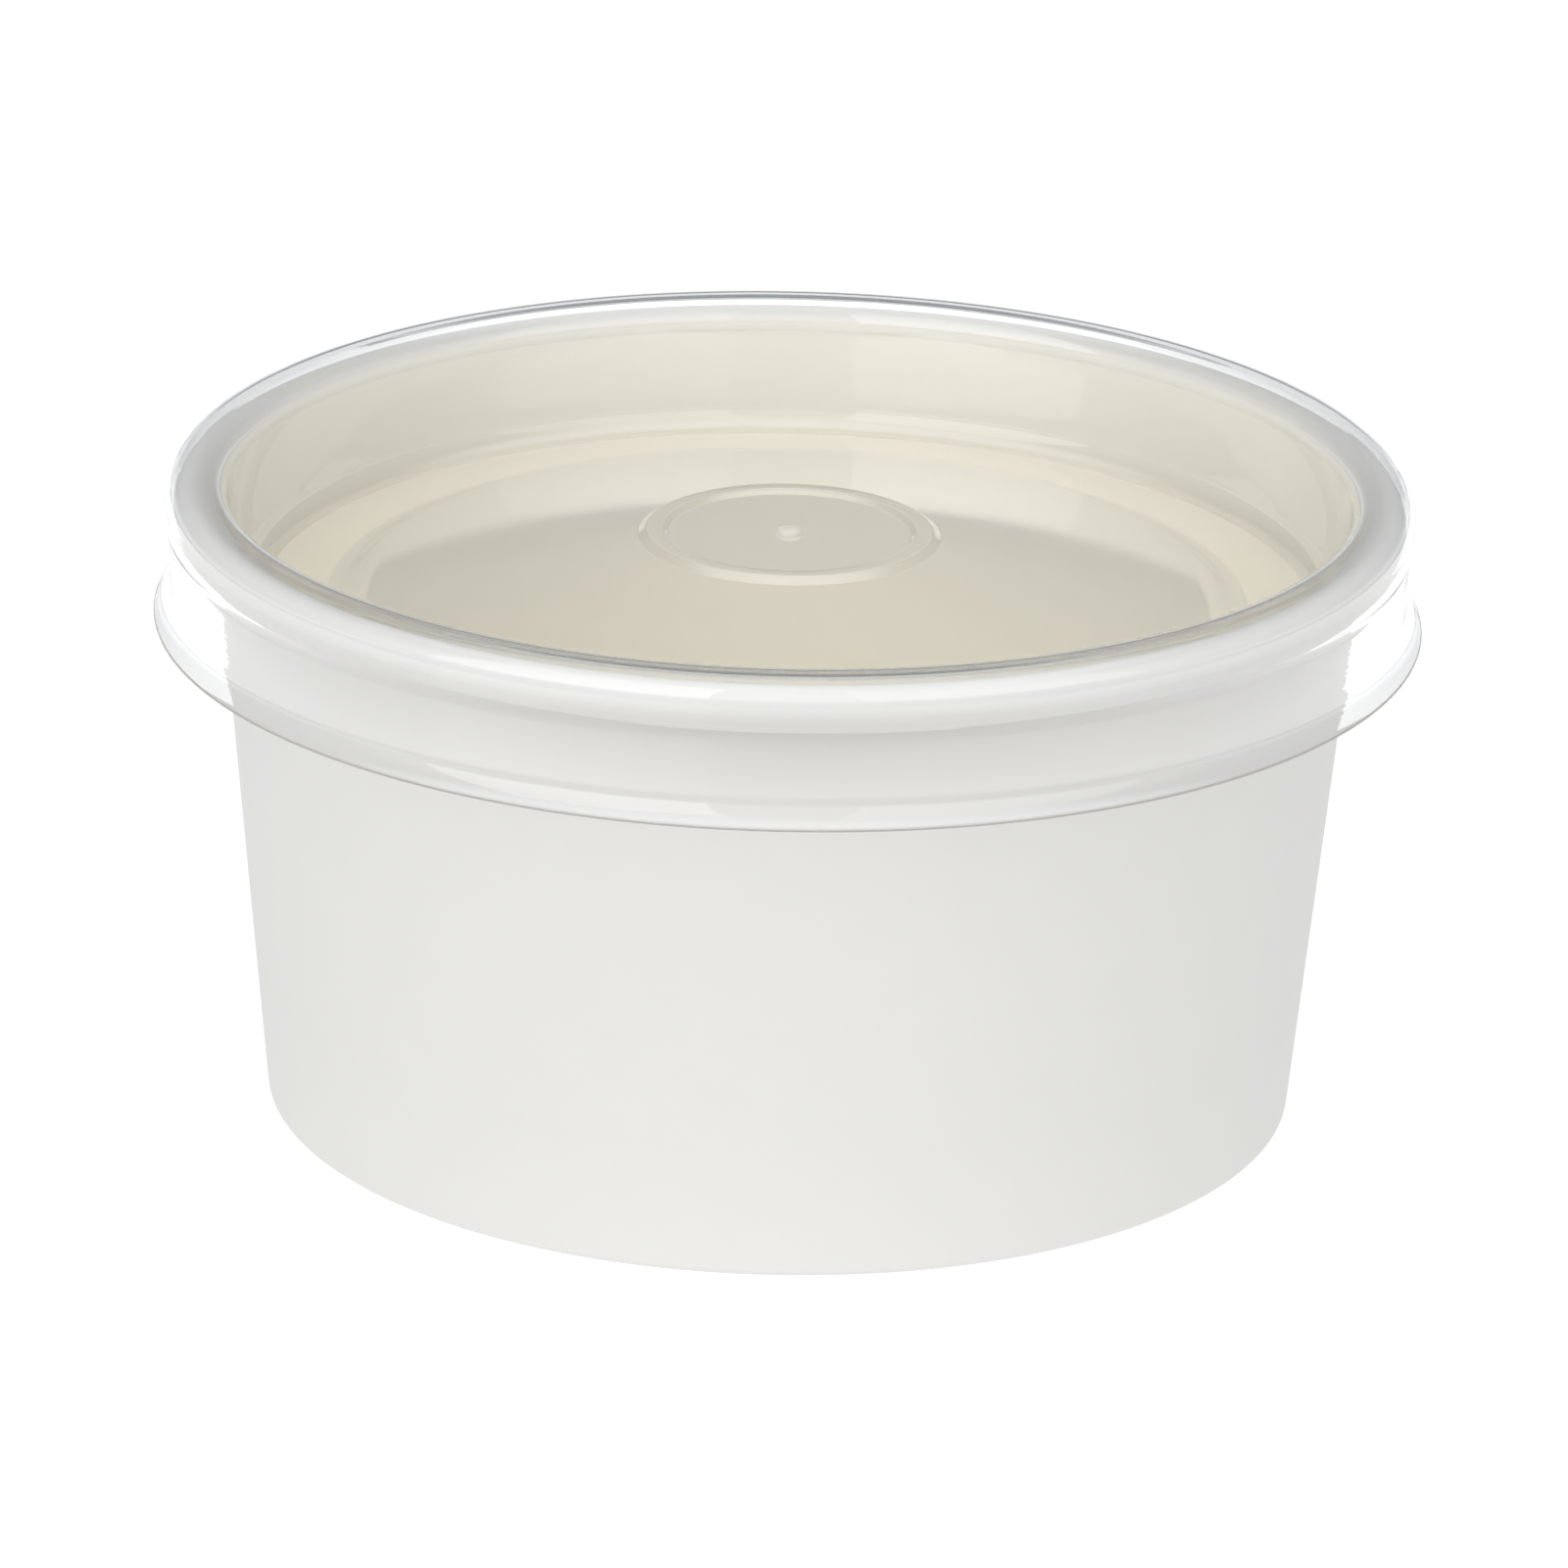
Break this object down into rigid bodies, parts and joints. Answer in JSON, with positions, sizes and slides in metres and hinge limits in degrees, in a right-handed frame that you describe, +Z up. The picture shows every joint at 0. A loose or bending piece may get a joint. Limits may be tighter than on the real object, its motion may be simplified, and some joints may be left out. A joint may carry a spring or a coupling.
{
  "type": "paper portion cup with lid",
  "caption": "Round, slightly tapered white paper portion cup with a rolled rim and folded foot, closed by a clear press-on plastic lid with a recessed, slightly raised centre",
  "frame": {"origin": "centre of the ground circle that the foot stands on, on the cup's axis", "axes": "+Z up along the axis of the round cup and lid, which are alike all round"},
  "size_m": [0.0926, 0.0926, 0.0476],
  "materials": {
    "wall_paper": "satin coated board, white outside",
    "base_paper": "satin coated board",
    "clear_plastic": "clear, slightly hazy, glossy"
  },
  "bodies": {
    "root": {"cup_wall": "wall_paper", "cup_base": "base_paper", "lid": "clear_plastic"}
  },
  "joints": []
}
